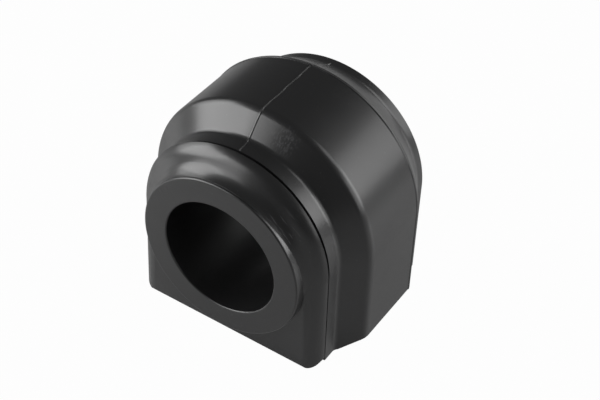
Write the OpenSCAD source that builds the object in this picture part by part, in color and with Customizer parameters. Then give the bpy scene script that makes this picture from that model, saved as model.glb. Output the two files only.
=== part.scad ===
// Anti-roll bar bush, moulded from one piece of black rubber.
// The bar runs through the bore along Y, a clamp goes over the arched body,
// and the flat base sits on the chassis. X is across, Y runs front to back, Z is up.
// The origin is at the middle of the base.

/* [Bar bore] */
// Diameter of the bore that grips the bar
bore_d = 23; // [16:0.5:26]
// Height of the bore's axis above the base
bore_h = 19.1; // [18:0.1:21]

/* [Arch] */
// Height of the arch's centre above the base
arch_h = 20.4; // [19:0.1:24]
// Angle at which the sides spread towards the base
side_splay = 1.2; // [0:0.1:3]

/* [Front plate] */
// Radius of the front plate's arch
plate_r = 19.5; // [19.2:0.1:21]
// Thickness of the front plate, from its face to the seam behind it
plate_t = 2.8; // [1.5:0.1:4]
// Rounding round the front plate's outer edge
plate_edge_r = 3.2; // [1:0.1:4]
// Rounding of the front plate's two lower corners
plate_corner_r = 1.2; // [0.5:0.1:2]

/* [Collars] */
// Outer diameter of the round collars
collar_d = 32.8; // [30:0.1:34]
// How far a collar stands out from its plate, and the hollow radius under its crown
collar_out = 2.1; // [1:0.1:3]
// Rounding of the collar's outer rim
rim_r = 0.35; // [0.1:0.05:0.6]
// Rounding where the bore meets the collar's face
bore_edge_r = 0.3; // [0.1:0.05:0.6]

/* [Body] */
// How far the land behind the front plate is set in from the plate's edge
land_step = 0.35; // [0.1:0.05:1]
// Length of the land between the seam and the foot of the flare
land_length = 3.3; // [2:0.1:6]
// Radius of the body's arch at the rear parting line
body_r = 23.7; // [22.5:0.1:26]
// How much less the body's arch measures at the shoulder, so that it leaves the mould
body_draft = 0.25; // [0:0.05:0.8]
// Length of the body from the seam to the rear parting line
body_length = 23; // [18:0.1:26]

/* [Front flare] */
// Angle of the flare to the bar
flare_angle = 49; // [30:1:60]
// Hollow radius at the foot of the flare
foot_r = 1.4; // [0.5:0.1:2.5]
// Rounding at the shoulder of the flare
shoulder_r = 2.2; // [0.5:0.1:3]

/* [Rear] */
// Angle of the rear taper to the bar
taper_angle = 31; // [24:1:45]
// Rounding where the rear taper leaves the parting line
taper_shoulder_r = 0.8; // [0.3:0.1:2]
// Hollow radius where the rear taper meets the rear plate
taper_foot_r = 2.5; // [1:0.1:5]
// Radius of the rear plate's arch
rear_r = 20.3; // [19.2:0.1:21]
// Length of the rear plate's rim, from the foot of the taper to the rounding of its edge
rear_rim = 1.3; // [0.2:0.1:3]
// Rounding round the rear plate's outer edge
rear_edge_r = 0.4; // [0.3:0.1:1.5]

/* [Base] */
// Height of the bevel under each side of the body
bevel_h = 2.7; // [0.5:0.1:4]

/* [Mould lines] */
// How far the mould lines stand proud
flash_h = 0.14; // [0.05:0.01:0.3]
// Width of the mould lines at their root
flash_w = 0.5; // [0.2:0.05:1]

/* [Hidden] */
$fn = 128;
rubber = [0.09, 0.09, 0.095];
arc_step = 6;
spare = 2;
flank_sink = 0.15;
corner_spare = 0.03;
past_crown = 20;

bore_r = bore_d / 2;
collar_r = collar_d / 2;
land_r = plate_r - land_step;
plate_base_r = spread(plate_r);
body_base_r = spread(body_r);
bevel_angle = atan(bevel_h / (body_base_r - plate_base_r));

// Places along the bar: the taper's length follows from its angle and its two roundings
taper_drop = body_r - rear_r - (taper_shoulder_r + taper_foot_r) * (1 - cos(taper_angle));
taper_length = taper_drop / tan(taper_angle)
    + (taper_shoulder_r + taper_foot_r) * sin(taper_angle);
rear_length = flash_w / 2 + taper_length + rear_rim + rear_edge_r;
bush_length = 2 * collar_out + plate_t + body_length + rear_length;
front_y = -bush_length / 2;
rear_y = bush_length / 2;
plate_y = front_y + collar_out;
seam_y = plate_y + plate_t;
foot_y = seam_y + land_length;
parting_y = seam_y + body_length;
rear_face_y = rear_y - collar_out;

// Half width at the base of a D whose arch has radius r
function spread(r) = (r + arch_h * sin(side_splay)) / cos(side_splay);

// Points of an arc round c, both ends included
function arc(c, r, from, to) =
    let (steps = ceil(abs(to - from) / arc_step))
    [for (i = [0:steps]) let (a = from + (to - from) * i / steps)
        c + r * [cos(a), sin(a)]];

// Front flare, [radius, y], from its foot on the land to its shoulder on the body
function front_flare(top_r) =
    let (
        foot = arc([land_r + foot_r, foot_y], foot_r, 180, 180 - flare_angle),
        start = foot[len(foot) - 1],
        end_r = top_r - shoulder_r * (1 - cos(flare_angle)),
        end_y = start.y + (end_r - start.x) / tan(flare_angle),
        centre = [top_r - shoulder_r, end_y + shoulder_r * sin(flare_angle)]
    )
    concat(foot, arc(centre, shoulder_r, -flare_angle, 0));

// Rear taper, [radius, y], from the parting line down to the rear land
function rear_taper() =
    let (
        y0 = parting_y + flash_w / 2,
        shoulder = arc([body_r - taper_shoulder_r, y0], taper_shoulder_r, 0, taper_angle),
        centre = [rear_r + taper_foot_r, y0 + taper_length]
    )
    concat(shoulder, arc(centre, taper_foot_r, 180 + taper_angle, 180));

// Outer line of the body, [radius, y], from the seam to the rear face
function body_line() = concat(
    [[land_r, seam_y]],
    front_flare(body_r - body_draft),
    [[body_r, parting_y - flash_w / 2], [body_r + flash_h, parting_y]],
    rear_taper(),
    arc([rear_r - rear_edge_r, rear_face_y - rear_edge_r], rear_edge_r, 0, 90)
);

// Outer line of the front plate, [radius, y], from its face to the seam
function plate_line() =
    let (
        centre = [plate_r - plate_edge_r, plate_y + plate_edge_r],
        edge = [for (p = arc(centre, plate_edge_r, -90, 0)) if (p.y < seam_y) p]
    )
    concat(edge, [[plate_r, seam_y]]);

// Half section inside an outer line, closed at the given distance from the arch's axis
module half_section(line, inner = 0) {
    polygon(concat([[inner, line[0].y]], line, [[inner, line[len(line) - 1].y]]));
}

// A D in two halves: each is the outer line turned over the arch and carried straight
// down its side. Both run past the middle, so that they join however far the sides spread.
module d_form(line) {
    for (side = [0, 1])
        mirror([side, 0, 0])
            translate([0, 0, arch_h])
                rotate([0, -side_splay, 0])
                    mirror([0, 0, 1]) {
                        rotate([-90, 0, 0])
                            rotate_extrude(angle = 90 - side_splay + past_crown)
                                half_section(line);
                        linear_extrude(arch_h + spare)
                            half_section(line, -land_r / 2);
                    }
}

// Front plate, with its lower corners rounded off. The roundings pass a hair outside the
// side and the base, so that they cut both at an angle.
module front_plate() {
    centre = [
        plate_base_r - plate_corner_r + corner_spare,
        plate_corner_r - corner_spare
    ];
    edge_x = plate_base_r + spare;
    difference() {
        d_form(plate_line());
        for (side = [0, 1])
            mirror([side, 0, 0])
                translate([0, seam_y + spare, 0])
                    rotate([90, 0, 0])
                        linear_extrude(plate_t + 2 * spare)
                            polygon(concat(
                                [[centre.x, -spare]],
                                arc(centre, plate_corner_r, -90, 0),
                                [[edge_x, centre.y], [edge_x, -spare]]
                            ));
    }
}

// Round collar on the bore's axis, standing on the front plate
module collar() {
    translate([0, plate_y, bore_h])
        rotate([-90, 0, 0])
            rotate_extrude()
                polygon(concat(
                    [[0, plate_t], [0, -collar_out]],
                    arc([collar_r - rim_r, rim_r - collar_out], rim_r, -90, 0),
                    [[collar_r, plate_t]]
                ));
}

// Hollow flank that runs from the collar's crown out to the arch of the plate.
// It turns about the arch's centre, so it dies out below the collar's middle.
module collar_flank() {
    hollow_r = collar_out + flank_sink;
    foot_at = collar_r - (arch_h - bore_h) + collar_out;
    top_angle = asin((flank_sink + rim_r) / hollow_r);
    translate([0, plate_y, arch_h])
        rotate([-90, 0, 0])
            rotate_extrude()
                polygon(concat(
                    [[0, plate_t], [0, rim_r - collar_out]],
                    arc([foot_at, -hollow_r], hollow_r, 180 - top_angle, 90),
                    [[foot_at, plate_t]]
                ));
}

// Flash left where the two halves of the mould meet over the crown
module crown_flash() {
    end_y = rear_face_y - rear_edge_r;
    proud = [for (p = body_line()) if (p.y < end_y) [p.y, p.x + flash_h]];
    translate([flash_w / 2, 0, arch_h])
        rotate([90, 0, -90])
            mirror([1, 0, 0])
                linear_extrude(flash_w)
                    polygon(concat(
                        [[seam_y, 0]], proud, [[end_y, rear_r + flash_h], [end_y, 0]]
                    ));
}

// Bore along the bar, with its mouths rounded
module bore() {
    mouth_r = bore_r + bore_edge_r;
    translate([0, 0, bore_h])
        rotate([-90, 0, 0])
            rotate_extrude()
                polygon(concat(
                    [[0, front_y - spare], [mouth_r, front_y - spare]],
                    arc([mouth_r, front_y + bore_edge_r], bore_edge_r, 270, 180),
                    arc([mouth_r, rear_y - bore_edge_r], bore_edge_r, 180, 90),
                    [[mouth_r, rear_y + spare], [0, rear_y + spare]]
                ));
}

// Everything under the base, and under the bevels along the body's sides
module under_base() {
    reach = body_base_r + spare;
    translate([-reach, -bush_length, -bush_length])
        cube([2 * reach, 2 * bush_length, bush_length]);
    for (side = [0, 1])
        mirror([side, 0, 0])
            translate([plate_base_r, -bush_length, 0])
                rotate([0, -bevel_angle, 0])
                    translate([0, 0, -bush_length])
                        cube([bush_length, 2 * bush_length, bush_length]);
}

module rubber_bush() {
    color(rubber)
        difference() {
            union() {
                front_plate();
                d_form(body_line());
                crown_flash();
                collar_flank();
                for (end = [0, 1])
                    mirror([0, end, 0])
                        collar();
            }
            under_base();
            bore();
        }
}

rubber_bush();
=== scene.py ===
from math import asin, atan2, ceil, copysign, cos, degrees, exp, pi, radians, sin, sqrt, tan

import bpy
from mathutils import Matrix, Vector


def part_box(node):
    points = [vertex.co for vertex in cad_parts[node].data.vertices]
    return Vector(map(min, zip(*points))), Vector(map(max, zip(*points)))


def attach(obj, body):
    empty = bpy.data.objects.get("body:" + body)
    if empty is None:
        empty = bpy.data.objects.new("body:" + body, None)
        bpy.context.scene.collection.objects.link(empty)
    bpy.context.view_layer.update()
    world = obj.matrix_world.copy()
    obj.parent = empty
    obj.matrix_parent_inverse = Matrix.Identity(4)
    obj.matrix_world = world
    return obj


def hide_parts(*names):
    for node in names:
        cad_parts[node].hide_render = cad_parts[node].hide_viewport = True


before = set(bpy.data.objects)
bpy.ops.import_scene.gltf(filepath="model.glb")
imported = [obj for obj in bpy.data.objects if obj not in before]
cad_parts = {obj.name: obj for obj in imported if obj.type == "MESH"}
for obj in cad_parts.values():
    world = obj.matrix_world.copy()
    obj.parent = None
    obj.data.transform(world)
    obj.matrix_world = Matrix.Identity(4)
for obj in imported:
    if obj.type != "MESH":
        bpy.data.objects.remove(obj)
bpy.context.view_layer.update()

# Moulded body. The arched body of the bush is one piece of black rubber, pressed in a split mould.
# Its outline is turned over the crown and runs straight down both sides to a flat base,
# so it is drawn once as a line of (radius, y) and spun about the arch's centre.
MM = 0.001
same_place = 1e-6
bush_low, bush_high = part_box("rubber_bush")
collar_out = 2.1 * MM
plate_y = bush_low.y + collar_out
rear_face_y = bush_high.y - collar_out
arch_h = 20.4 * MM
arch_steps = 96

flat_r = 16.3 * MM
crease_r = 17.67 * MM
crease_t = 0.73 * MM
crease_base_r = 17.2 * MM
plate_r = 19.5 * MM
plate_t = 2.8 * MM
plate_edge_r = 3.85 * MM
plate_edge_base_r = 3.3 * MM
bow_parts = 12
lip_r = 0.12 * MM
groove_w = 0.78 * MM
groove_h = 0.42 * MM
land_r = 19.15 * MM
land_length = 3.3 * MM
body_r = 23.7 * MM
body_draft = 0.25 * MM
body_length = 23 * MM
flare_angle = 49
foot_r = 1.4 * MM
shoulder_r = 2.2 * MM
ridge_w = 0.5 * MM
ridge_h = 0.14 * MM
ridge_brow_w = ridge_w / 6
ridge_brow_h = ridge_h * 0.8
taper_angle = 31
taper_shoulder_r = 0.8 * MM
taper_foot_r = 2.5 * MM
rear_r = 20.3 * MM
rear_edge_r = 0.4 * MM
side_spread = 1.016
plate_spread = 0.31 * MM
body_spread = 0.38 * MM
bevel_h = 2.7 * MM
seam_y = plate_y + plate_t
parting_y = seam_y + body_length


def arc(centre, radius, start, end, step=4, count=0):
    """Points of an arc round a centre, both ends included, with angles in degrees.
    It has count parts, or where no count is given, parts of at most step degrees."""
    count = count or max(1, ceil(abs(end - start) / step))
    angles = [radians(start + (end - start) * i / count) for i in range(count + 1)]
    return [Vector((centre[0] + radius * cos(a), centre[1] + radius * sin(a))) for a in angles]


def bow(start, end, radius):
    """Points of an arc between two points, its centre left of the way there where radius > 0."""
    half = (end - start).length / 2
    left = Vector((start.y - end.y, end.x - start.x)) / (2 * half)
    centre = (start + end) / 2 + copysign(sqrt(radius ** 2 - half ** 2), radius) * left
    first = degrees(atan2(start.y - centre.y, start.x - centre.x))
    turn = copysign(2 * degrees(asin(half / abs(radius))), radius)
    return arc(centre, abs(radius), first, first + turn, count=bow_parts)


lip_start = Vector((plate_r, seam_y - lip_r))
edge = bow(Vector((crease_r, plate_y + crease_t)), lip_start, plate_edge_r)
base_edge = bow(Vector((crease_base_r, plate_y)), lip_start, plate_edge_base_r)


def plate_line():
    """The front plate, from the arch's axis to the crease, over its rounded edge to the lip
    and into the fine groove at the seam."""
    lip = arc((plate_r - lip_r, seam_y - lip_r), lip_r, 0, 90, step=30)
    groove = [
        Vector((land_r - groove_h, seam_y)),
        Vector((land_r - groove_h, seam_y + groove_w - lip_r)),
        Vector((land_r, seam_y + groove_w))]
    return [Vector((0, plate_y)), Vector((flat_r, plate_y))] + edge + lip + groove


def flare_line():
    """The front flare, from its hollow foot on the land to its round shoulder."""
    angle = radians(flare_angle)
    foot = arc((land_r + foot_r, seam_y + land_length), foot_r, 180, 180 - flare_angle)
    top = body_r - body_draft - shoulder_r
    slope_r = top + shoulder_r * cos(angle) - foot[-1].x
    centre_y = foot[-1].y + slope_r / tan(angle) + shoulder_r * sin(angle)
    return foot + arc((top, centre_y), shoulder_r, -flare_angle, 0)


def rear_line():
    """The low ridge at the parting line, the taper behind it and the rear plate's rim."""
    angle = radians(taper_angle)
    ridge_end = parting_y + ridge_w / 2
    ridge = [
        Vector((body_r, parting_y - ridge_w / 2)),
        Vector((body_r + ridge_brow_h, parting_y - ridge_brow_w)),
        Vector((body_r + ridge_h, parting_y)),
        Vector((body_r + ridge_brow_h, parting_y + ridge_brow_w))]
    shoulder = arc((body_r - taper_shoulder_r, ridge_end), taper_shoulder_r, 0, taper_angle)
    turns = taper_shoulder_r + taper_foot_r
    drop = body_r - rear_r - turns * (1 - cos(angle))
    foot_y = ridge_end + drop / tan(angle) + turns * sin(angle)
    foot = arc((rear_r + taper_foot_r, foot_y), taper_foot_r, 180 + taper_angle, 180)
    rim = arc((rear_r - rear_edge_r, rear_face_y - rear_edge_r), rear_edge_r, 0, 90)
    return ridge + shoulder + foot + rim + [Vector((0, rear_face_y))]


def draw_line(name, points, height):
    """Draws a chain of vertices as a new mesh and leaves it selected, in edit mode.
    Each point's x goes across and its y along the bar; a third number is added to the height."""
    places = [
        Vector((point.x, point.y, height + (point.z if len(point) > 2 else 0)))
        for point in points]
    bpy.ops.object.select_all(action="DESELECT")
    bpy.ops.mesh.primitive_plane_add(size=MM, location=places[0])
    line = bpy.context.object
    line.name = name
    bpy.ops.object.transform_apply(location=True, rotation=True, scale=True)
    bpy.ops.object.mode_set(mode="EDIT")
    bpy.ops.mesh.merge(type="CENTER")
    for here, there in zip(places, places[1:]):
        bpy.ops.mesh.extrude_region_move(TRANSFORM_OT_translate={"value": there - here})
    bpy.ops.mesh.select_all(action="SELECT")
    return line


def select_verts(piece, chosen):
    """Selects the vertices whose place passes the test, in edit mode."""
    bpy.ops.mesh.select_all(action="DESELECT")
    bpy.ops.object.mode_set(mode="OBJECT")
    for vertex in piece.data.vertices:
        vertex.select = chosen(vertex.co)
    bpy.ops.object.mode_set(mode="EDIT")


def at_height(height):
    """The test that a place lies at a height over the base."""
    return lambda place: abs(place.z - height) < same_place


bush = draw_line("moulded_bush", plate_line() + flare_line() + rear_line(), arch_h)
bpy.ops.mesh.spin(steps=arch_steps, angle=pi, center=(0, 0, arch_h), axis=(0, 1, 0))
select_verts(bush, at_height(arch_h))
bpy.ops.mesh.extrude_region_move(TRANSFORM_OT_translate={"value": (0, 0, -arch_h)})

# Down the sides the crease runs out into the plate's flat face.
for above, below in zip(edge[:-1], base_edge):
    for side in (1, -1):
        spot = Vector((side * above.x, above.y, 0))
        select_verts(bush, lambda place: (place - spot).length < same_place)
        bpy.ops.transform.translate(value=(side * (below.x - above.x), below.y - above.y, 0))
select_verts(bush, at_height(0))
bpy.ops.transform.resize(value=(side_spread, 1, 1), center_override=(0, 0, 0))
bpy.ops.mesh.select_all(action="SELECT")
bpy.ops.mesh.remove_doubles(threshold=same_place)
select_verts(bush, at_height(0))
bpy.ops.mesh.edge_face_add()
bpy.ops.mesh.select_all(action="SELECT")
bpy.ops.mesh.normals_make_consistent(inside=False)

# The body's lower corners are bevelled, from the plate's side outwards.
bevel_x = plate_r + plate_spread
bevel_angle = atan2(bevel_h, body_r + body_spread - bevel_x)
for side in (1, -1):
    bpy.ops.mesh.select_all(action="SELECT")
    bpy.ops.mesh.bisect(
        plane_co=(side * bevel_x, 0, 0), plane_no=(side * sin(bevel_angle), 0, -cos(bevel_angle)),
        use_fill=True, clear_outer=True)
bpy.ops.object.mode_set(mode="OBJECT")

# Collars and bore. A round collar stands on each end plate, in the same rubber. The front one
# runs out to the arch in a hollow flank, and the bore for the bar goes through everything.
bore_h = 19.1 * MM
bore_r = 11.5 * MM
bore_edge_r = 0.3 * MM
collar_r = 16.4 * MM
rim_r = 0.35 * MM
flank_top_r = 15.35 * MM
flank_hollow_r = 4.4 * MM
flank_sink = 0.02 * MM
overlap = 1 * MM
round_steps = 192
rim_step = 15


def combine(operation, tool):
    """Joins a tool to the bush, or cuts it out, and removes the tool."""
    modifier = bush.modifiers.new(tool.name, "BOOLEAN")
    modifier.operation = operation
    modifier.solver = "EXACT"
    modifier.object = tool
    bpy.ops.object.select_all(action="DESELECT")
    bpy.context.view_layer.objects.active = bush
    bpy.ops.object.modifier_apply(modifier=modifier.name)
    bpy.data.objects.remove(tool)


def turn_round(operation, name, height, start_y, line, end_r, end_y):
    """Turns a half section once round the bar's direction, and joins the solid to the bush or
    cuts it out. The section leaves its axis at start_y, follows the line and comes back from
    end_r at end_y. Its axis is at the given height over the base."""
    section = [Vector((0, start_y))] + line + [Vector((end_r, end_y)), Vector((0, end_y))]
    solid = draw_line(name, section, height)
    bpy.ops.mesh.spin(steps=round_steps, angle=2 * pi, center=(0, 0, height), axis=(0, 1, 0))
    bpy.ops.mesh.select_all(action="SELECT")
    bpy.ops.mesh.remove_doubles(threshold=same_place)
    bpy.ops.mesh.normals_make_consistent(inside=False)
    bpy.ops.object.mode_set(mode="OBJECT")
    combine(operation, solid)


front_y = plate_y - collar_out
rim_y = front_y + rim_r
front_rim = arc((collar_r - rim_r, rim_y), rim_r, -90, 0, step=rim_step)
turn_round("UNION", "front_collar", bore_h, front_y, front_rim, collar_r, plate_y + overlap)

flank_foot = Vector((crease_r, plate_y + crease_t + flank_sink))
hollow = bow(Vector((flank_top_r, rim_y)), flank_foot, -flank_hollow_r)
turn_round("UNION", "collar_flank", arch_h, rim_y, hollow, crease_r, plate_y + overlap)

# The front plate's two lower corners are rounded off. The rounding ends a hair under the base,
# so that it meets the base at an angle.
corner_r = 2.4 * MM
corner_spare = 0.03 * MM
corner_step = 10
corner_depth = plate_t + groove_w / 3
corner = Vector((plate_r * side_spread - corner_r, corner_r - corner_spare))
far_x = corner.x + corner_r + overlap
rounding = [Vector((corner.x, -overlap))]
rounding += arc(corner, corner_r, -90, 0, step=corner_step)
rounding += [Vector((far_x, corner.y)), Vector((far_x, -overlap))]
for side in (1, -1):
    points = [Vector((side * point.x, plate_y - overlap, point.y)) for point in rounding]
    cutter = draw_line("corner_cutter", points, 0)
    bpy.ops.mesh.edge_face_add()
    bpy.ops.mesh.extrude_region_move(
        TRANSFORM_OT_translate={"value": (0, overlap + corner_depth, 0)})
    bpy.ops.mesh.select_all(action="SELECT")
    bpy.ops.mesh.normals_make_consistent(inside=False)
    bpy.ops.object.mode_set(mode="OBJECT")
    combine("DIFFERENCE", cutter)

rear_y = rear_face_y + collar_out
rear_rim = arc((collar_r - rim_r, rear_y - rim_r), rim_r, 90, 0, step=rim_step)
turn_round("UNION", "rear_collar", bore_h, rear_y, rear_rim, collar_r, rear_face_y - overlap)

mouth_r = bore_r + bore_edge_r
before_y = bush_low.y - overlap
behind_y = bush_high.y + overlap
bore = [Vector((mouth_r, before_y))]
bore += arc((mouth_r, bush_low.y + bore_edge_r), bore_edge_r, 270, 180, step=rim_step)
bore += arc((mouth_r, bush_high.y - bore_edge_r), bore_edge_r, 180, 90, step=rim_step)
turn_round("DIFFERENCE", "bar_bore", bore_h, before_y, bore, mouth_r, behind_y)

# Crown mould line. The mould's two halves meet over the crown, and the rubber that crept between
# them stands as a low, uneven line from the seam to the rear plate, with a hook where it starts.
flash_w = 0.44 * MM
flash_step = 0.6 * MM
weld = 2e-6
smooth_angle = 24

# The line's hook at the seam and its drift further on. Lengths are in millimetres.
hook_out = 0.42
hook_fade = 1.3
drift_start = 9
drift_rate = 0.012

land = [Vector((land_r, seam_y + groove_w))]
flash_end_y = rear_face_y - rear_edge_r
crown = [point for point in land + flare_line() + rear_line() if point.y < flash_end_y]
dense = []
for here, there in zip(crown, crown[1:]):
    parts = max(1, ceil((there - here).length / flash_step))
    dense += [here.lerp(there, i / parts) for i in range(parts)]
dense.append(crown[-1])


def wander(y):
    """How far the mould line strays sideways, in metres, at a place along the bush."""
    from_seam = (y - seam_y) / MM
    hook = hook_out * exp(-from_seam / hook_fade)
    drift = -drift_rate * max(0, from_seam - drift_start)
    long_ripple = 0.05 * sin(from_seam * 1.1)
    short_ripple = 0.03 * sin(from_seam * 2.7 + 1)
    return (hook + drift + long_ripple + short_ripple) * MM


# The line's section, as places across it in shares of its width, and heights in millimetres.
ribs = [(-0.47, -0.04), (-0.21, 0.11), (0.1, 0.12), (0.6, -0.04)]
first_across, first_up = ribs[0]
start = [
    Vector((wander(point.y) + first_across * flash_w, point.y, point.x + first_up * MM))
    for point in dense]
flash = draw_line("crown_flash", start, arch_h)
for (across, up), (next_across, next_up) in zip(ribs, ribs[1:]):
    step_over = ((next_across - across) * flash_w, 0, (next_up - up) * MM)
    bpy.ops.mesh.extrude_region_move(TRANSFORM_OT_translate={"value": step_over})
bpy.ops.mesh.select_all(action="SELECT")
bpy.ops.mesh.extrude_region_move(TRANSFORM_OT_translate={"value": (0, 0, -overlap)})
bpy.ops.mesh.select_all(action="SELECT")
bpy.ops.mesh.normals_make_consistent(inside=False)
bpy.ops.object.mode_set(mode="OBJECT")
combine("UNION", flash)

bpy.ops.object.select_all(action="DESELECT")
bush.select_set(True)
bpy.context.view_layer.objects.active = bush
bpy.ops.object.mode_set(mode="EDIT")
bpy.ops.mesh.select_all(action="SELECT")
bpy.ops.mesh.remove_doubles(threshold=weld)
bpy.ops.mesh.dissolve_degenerate(threshold=weld)
bpy.ops.object.mode_set(mode="OBJECT")
bpy.ops.object.shade_smooth_by_angle(angle=radians(smooth_angle))
weighted = bush.modifiers.new("even_shading", "WEIGHTED_NORMAL")
weighted.keep_sharp = True
bpy.ops.object.modifier_apply(modifier=weighted.name)

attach(bush, "root")
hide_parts("rubber_bush")


# Black rubber. Carbon-black rubber with the satin gloss of the mould's walls, a fine grain and
# faint flow marks. Handling has left it a little uneven, with a scuff beside the crown, scratches
# on the front collar's wall, nicks at its edge and pale dust on the rear parting line. The scratched
# patch on the collar's wall is also painted a paler grey, a painted reflection of the rear soft box.
class Signal:
    """An output of a node, so that sums of outputs are written as plain sums."""

    def __init__(self, shader, socket):
        self.shader = shader
        self.socket = socket

    def maths(self, operation, first, second):
        return self.shader.node("ShaderNodeMath", {"operation": operation}, {0: first, 1: second})

    def __add__(self, other):
        return self.maths("ADD", self, other)

    def __sub__(self, other):
        return self.maths("SUBTRACT", self, other)

    def __rsub__(self, other):
        return self.maths("SUBTRACT", other, self)

    def __mul__(self, other):
        return self.maths("MULTIPLY", self, other)

    def __abs__(self):
        return self.maths("ABSOLUTE", self, 0)

    __radd__ = __add__
    __rmul__ = __mul__


class Shader:
    """The node tree of one finish, emptied, to which every node is added by one method."""

    def __init__(self, name):
        self.material = bpy.data.materials.new(name)
        self.material.use_nodes = True
        self.tree = self.material.node_tree
        self.tree.nodes.clear()

    def node(self, kind, settings, sockets, output=0):
        made = self.tree.nodes.new(kind)
        for setting, value in settings.items():
            setattr(made, setting, value)
        for socket, value in sockets.items():
            if isinstance(value, Signal):
                self.tree.links.new(value.socket, made.inputs[socket])
            else:
                made.inputs[socket].default_value = value
        return Signal(self, made.outputs[output]) if made.outputs else made


rubber = Shader("black_rubber")
place = rubber.node("ShaderNodeTexCoord", {}, {}, "Object")


def noise(over, scale, detail):
    """Soft noise over the given coordinates, with about scale patches to the metre."""
    return rubber.node(
        "ShaderNodeTexNoise", {}, {"Vector": over, "Scale": scale, "Detail": detail}, "Fac")


def patches(scale, detail, stretch=(1, 1, 1)):
    """Soft noise over the rubber, in patches that a stretch below 1 draws out along its axis."""
    stretched = rubber.node("ShaderNodeMapping", {}, {"Vector": place, "Scale": stretch})
    return noise(stretched, scale, detail)


def between(value, low, high):
    """0 below low, 1 above high and a smooth change between them."""
    return rubber.node(
        "ShaderNodeMapRange", {"interpolation_type": "SMOOTHSTEP"},
        {"Value": value, "From Min": low, "From Max": high})


def along(axis):
    """One coordinate of the place on the bush, in metres."""
    return rubber.node("ShaderNodeSeparateXYZ", {}, {"Vector": place}, axis)


def near(spot, core, edge):
    """1 within core of a spot on the bush and 0 beyond edge, all in millimetres."""
    apart = rubber.node(
        "ShaderNodeVectorMath", {"operation": "DISTANCE"}, {0: place, 1: Vector(spot) * MM}, "Value")
    return 1 - between(apart, core * MM, edge * MM)


cloud = patches(scale=120, detail=3)
grain = patches(scale=9000, detail=2)
streaks = patches(scale=900, detail=3, stretch=(1, 0.12, 1))
specks = between(patches(scale=2200, detail=1), low=0.72, high=0.78)

# The scratches on the collar's wall, which also carry its painted reflection, are drawn out along
# it, at 45 degrees.
slanted = rubber.node(
    "ShaderNodeMapping", {"vector_type": "TEXTURE"},
    {"Vector": place, "Rotation": (0, radians(45), 0), "Scale": (9, 1, 1)})
scratches = between(noise(slanted, scale=2200, detail=2), low=0.52, high=0.7)

# Places in millimetres, with those along the bar counted from the front collar's face.
front = bush_low.y / MM
scuff_grain = between(patches(scale=3200, detail=4, stretch=(1, 0.5, 0.5)), low=0.45, high=0.68)
scuff = near((5.9, front + 10.6, 40.9), core=0.5, edge=3.4) * scuff_grain
nick = near((-10.9, front, 29.7), core=0.15, edge=0.55)
nick += near((-12.1, front, 28.6), core=0.1, edge=0.45)
behind_face = between(along("Y"), (front + 0.25) * MM, (front + 0.5) * MM)
# Scratches on the front collar's wall, lightened well beyond wear: partly real scratches, partly a
# painted reflection of the rear soft box.
wall_scratches_and_painted_sheen = near((11.5, front + 1, 30.8), core=1, edge=5) * scratches * behind_face
parting = 1 - between(abs(along("Y") - parting_y), 0.1 * MM, 0.4 * MM)
chafe = parting * between(cloud, low=0.45, high=0.62)
# Scuff, dust, specks and the painted reflection on the collar's wall, summed into one share of grey.
wear_and_painted_sheen = 0.5 * scuff + 0.9 * wall_scratches_and_painted_sheen + 0.16 * specks + 0.3 * chafe

# A Mix node's sockets are numbered, because its names repeat.
mix_factor, mix_from, mix_to, mixed_colour = 0, 6, 7, 2
clean_black = (0.012, 0.012, 0.0125, 1)
# The grey of scuffs and dust, which also gives the collar's wall its painted reflection.
worn_and_sheen_grey = (0.2, 0.2, 0.21, 1)
tone = rubber.node(
    "ShaderNodeMix", {"data_type": "RGBA", "clamp_factor": True},
    {mix_factor: 0.5 * wear_and_painted_sheen, mix_from: clean_black, mix_to: worn_and_sheen_grey}, mixed_colour)
roughness = 0.36 + 0.1 * (cloud - 0.5) + 0.12 * (grain - 0.5) + 0.2 * scuff
bump = rubber.node(
    "ShaderNodeBump", {},
    {"Strength": 0.16, "Distance": 0.02 * MM, "Height": grain + 1.6 * streaks + 6 * nick}, "Normal")
finish = rubber.node(
    "ShaderNodeBsdfPrincipled", {},
    {"Base Color": tone, "Roughness": roughness, "Normal": bump, "IOR": 1.5,
     "Coat Weight": 0.9, "Coat Roughness": 0.22, "Coat IOR": 1.5})
rubber.node("ShaderNodeOutputMaterial", {}, {"Surface": finish})
bush.data.materials.clear()
bush.data.materials.append(rubber.material)

# Studio. The bush stands on a wide white sheet with a slight gloss, lit by a large soft box
# in front on its left and a smaller one behind on its right, each with dimmer wings round it.
sheet_size = 6
sheet_grey = (0.33, 0.33, 0.33, 1)
plain_white = (1, 1, 1, 1)
white_to_camera = 0.98
white_in_gloss = 0.15
air_strength = 0.09

bpy.ops.object.select_all(action="DESELECT")
bpy.ops.mesh.primitive_plane_add(size=sheet_size, location=(0, 0, 0))
sheet = bpy.context.object
sheet.name = "white_sheet"
paper = Shader("white_paper")
seen = paper.node("ShaderNodeLightPath", {}, {}, "Is Camera Ray")
mirrored = paper.node("ShaderNodeLightPath", {}, {}, "Is Glossy Ray")
through = paper.node("ShaderNodeLightPath", {}, {}, "Is Transmission Ray")
white = paper.node("ShaderNodeEmission", {}, {"Color": plain_white, "Strength": 1.0})
satin = paper.node(
    "ShaderNodeBsdfPrincipled", {}, {"Base Color": sheet_grey, "Roughness": 0.16, "IOR": 1.65})
share = white_to_camera * seen + white_in_gloss * mirrored + white_in_gloss * through
shown = paper.node("ShaderNodeMixShader", {}, {0: share, 1: satin, 2: white})
paper.node("ShaderNodeOutputMaterial", {}, {"Surface": shown})
sheet.data.materials.append(paper.material)

lamp_distance = 0.6
lamp_aim = Vector((0, 0, 0.02))


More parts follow.
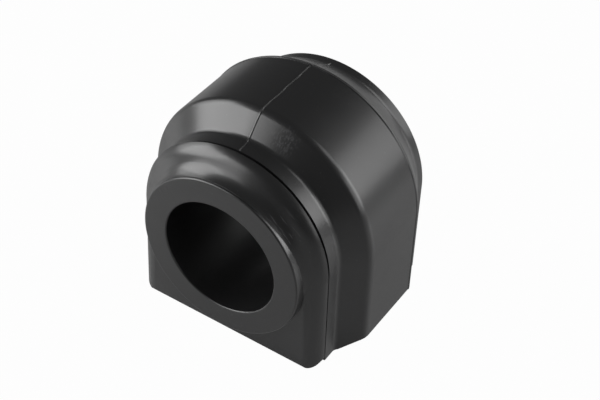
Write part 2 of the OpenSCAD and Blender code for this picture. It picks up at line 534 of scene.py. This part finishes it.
def soft_box(name, turn_right, height, across, up, radiance):
    """A soft box, turned to face the bush. Its place is how many degrees it stands to the right
    of the front and above the floor, and its size is in metres."""
    round_by, rise = radians(turn_right), radians(height)
    away = Vector((sin(round_by) * cos(rise), -cos(round_by) * cos(rise), sin(rise)))
    lamp = bpy.data.lights.new(name, "AREA")
    lamp.shape = "RECTANGLE"
    lamp.size, lamp.size_y = across, up
    lamp.energy = radiance * pi * across * up
    holder = bpy.data.objects.new(name, lamp)
    holder.location = lamp_aim + away * lamp_distance
    holder.rotation_euler = away.to_track_quat("Z", "Y").to_euler()
    bpy.context.collection.objects.link(holder)


soft_box("key_box", -59, 23.5, across=0.41, up=0.4, radiance=3.7)
soft_box("key_right_wing", -28.5, 23.5, across=0.244, up=0.4, radiance=2)
soft_box("key_left_wing", -87.5, 23.5, across=0.2, up=0.4, radiance=1.85)
soft_box("rear_box", 116.5, 20, across=0.244, up=0.32, radiance=3.5)
soft_box("rear_front_wing", 90, 20, across=0.32, up=0.32, radiance=1.45)
soft_box("rear_top_wing", 116, 47, across=0.3, up=0.28, radiance=1.4)
soft_box("rear_back_wing", 152, 20, across=0.49, up=0.32, radiance=1.3)
bpy.context.scene.world = bpy.data.worlds.new("studio")
air = bpy.context.scene.world
air.use_nodes = True
air.node_tree.nodes["Background"].inputs["Color"].default_value = plain_white
air.node_tree.nodes["Background"].inputs["Strength"].default_value = air_strength

# The camera looks down on the front from the right, as in the photograph.
view_turn = radians(31.484)
view_height = radians(41.007)
view_roll = radians(2.736)
camera_place = (87.49 * MM, bush_low.y - 116.66 * MM, 159.72 * MM)
camera = bpy.data.objects.new("camera", bpy.data.cameras.new("camera"))
camera.data.lens = 69.75
camera.data.clip_start = 0.01
camera.matrix_world = (
    Matrix.Translation(camera_place) @ Matrix.Rotation(view_turn, 4, "Z")
    @ Matrix.Rotation(pi / 2 - view_height, 4, "X") @ Matrix.Rotation(view_roll, 4, "Z"))
bpy.context.collection.objects.link(camera)
bpy.context.scene.camera = camera
bpy.context.scene.view_settings.view_transform = "Standard"
